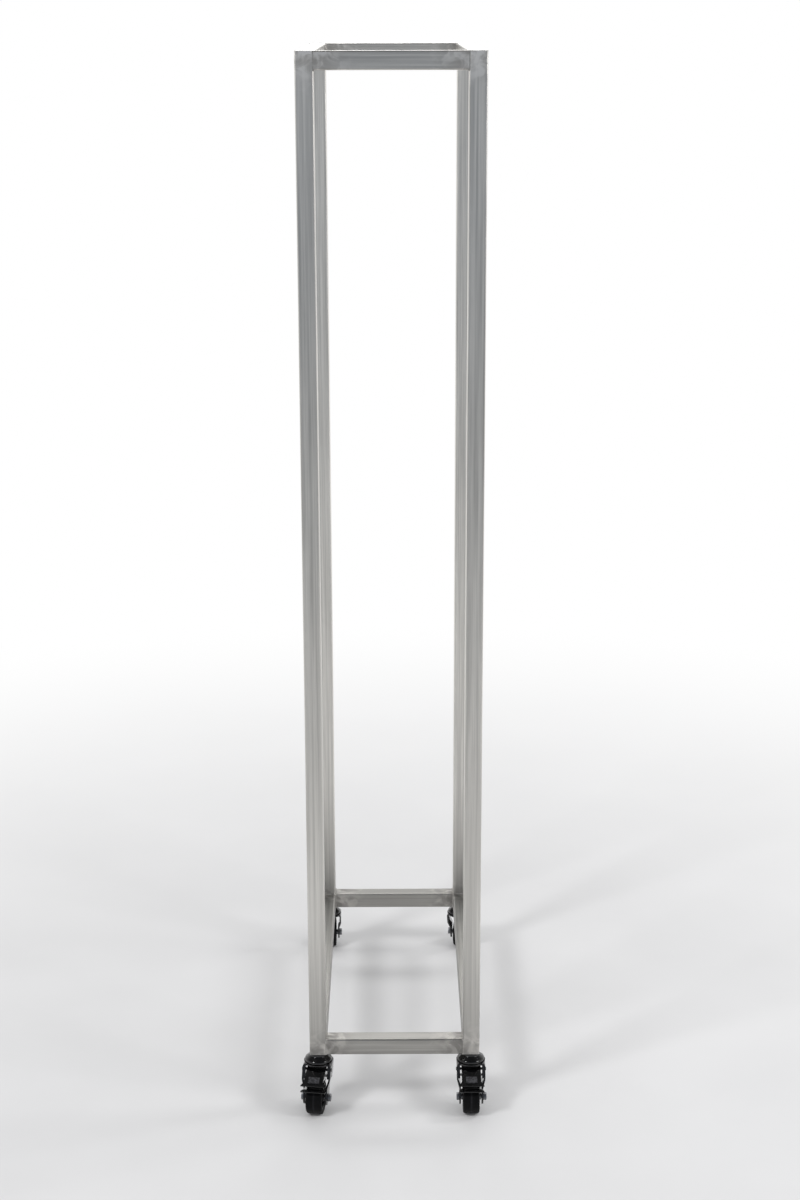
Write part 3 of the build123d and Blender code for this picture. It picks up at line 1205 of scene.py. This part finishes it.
def studio_world(far_end):
    """White walls behind and beside the object, a dark ceiling, and a dim studio behind the camera."""
    world = bpy.data.worlds.new("studio")
    world.use_nodes = True
    tree = world.node_tree
    tree.nodes.clear()
    way = add(tree, "ShaderNodeTexCoord").outputs["Object"]
    parts = add(tree, "ShaderNodeSeparateXYZ", {"Vector": way})
    _, walls = end_tint(tree, parts.outputs["Y"], far_end)
    ceiling = add(
        tree,
        "ShaderNodeMapRange",
        {"Value": parts.outputs["Z"], "From Min": 0.3, "From Max": 0.7, "To Min": 1.0, "To Max": 0.15},
        interpolation_type="SMOOTHSTEP",
    )
    dim = add(tree, "ShaderNodeBackground", {"Color": (1, 1, 1, 1), "Strength": ROOM_LIGHT})
    shown = add(tree, "ShaderNodeBackground", {"Color": walls, "Strength": ceiling.outputs[0]})
    mixed = add(tree, "ShaderNodeMixShader", {0: seen_rays(tree), 1: dim.outputs[0], 2: shown.outputs[0]})
    add(tree, "ShaderNodeOutputWorld", {"Surface": mixed.outputs[0]})
    return world


def area_light(name, place, target, size, power):
    """A soft rectangular lamp that faces a point."""
    lamp = bpy.data.lights.new(name, "AREA")
    lamp.shape = "RECTANGLE"
    lamp.size, lamp.size_y = size
    lamp.energy = power
    held = bpy.data.objects.new(name, lamp)
    held.location = place
    held.rotation_euler = (Vector(target) - Vector(place)).to_track_quat("-Z", "Y").to_euler()
    bpy.context.scene.collection.objects.link(held)


class RACK_OT_stage(bpy.types.Operator):
    """Sets the floor, lamps, world and camera"""

    bl_idname = "rack.stage"
    bl_label = "Stage"

    def execute(self, context):
        scene = context.scene
        props = scene.rack_stage
        stage_floor(props.floor, props.far_end)
        for name, lamp in LAMPS.items():
            area_light(name, *lamp)
        scene.world = studio_world(props.far_end)
        lens = bpy.data.cameras.new("camera")
        lens.lens = props.lens
        lens.sensor_width = 36
        camera = bpy.data.objects.new("camera", lens)
        camera.matrix_world = (
            Matrix.Translation(CAMERA_PLACE)
            @ Matrix.Rotation(math.radians(CAMERA_HEADING), 4, "Z")
            @ Matrix.Rotation(math.radians(90 + CAMERA_TILT), 4, "X")
            @ Matrix.Rotation(math.radians(CAMERA_ROLL), 4, "Z")
        )
        scene.collection.objects.link(camera)
        scene.camera = camera
        scene.view_settings.view_transform = "Standard"
        return {"FINISHED"}


class RACK_PT_panel(bpy.types.Panel):
    """Lists the rack's settings and the operators that make its pieces"""

    bl_idname = "RACK_PT_panel"
    bl_label = "Firewood Rack"
    bl_space_type = "VIEW_3D"
    bl_region_type = "UI"
    bl_category = "Rack"

    def draw(self, context):
        layout = self.layout
        for group in SETTINGS:
            props = getattr(context.scene, group)
            for name in props.bl_rna.properties.keys():
                if name not in ("rna_type", "name"):
                    layout.prop(props, name)
        for operator in OPERATORS:
            layout.operator(operator.bl_idname)


SETTINGS = {
    "rack_steel": RackSteelSettings,
    "rack_casters": RackCasterSettings,
    "rack_stage": RackStageSettings,
}
OPERATORS = (
    RACK_OT_tubes,
    RACK_OT_welds,
    RACK_OT_heads,
    RACK_OT_forks,
    RACK_OT_wheels,
    RACK_OT_bolts,
    RACK_OT_brakes,
    RACK_OT_stage,
)


def register():
    for name, group in SETTINGS.items():
        bpy.utils.register_class(group)
        setattr(bpy.types.Scene, name, bpy.props.PointerProperty(type=group))
    for operator in OPERATORS:
        bpy.utils.register_class(operator)
    bpy.utils.register_class(RACK_PT_panel)


def unregister():
    bpy.utils.unregister_class(RACK_PT_panel)
    for operator in reversed(OPERATORS):
        bpy.utils.unregister_class(operator)
    for name, group in SETTINGS.items():
        delattr(bpy.types.Scene, name)
        bpy.utils.unregister_class(group)


def main():
    register()
    for operator in OPERATORS:
        group, name = operator.bl_idname.split(".")
        getattr(getattr(bpy.ops, group), name)()


if __name__ == "__main__":
    main()
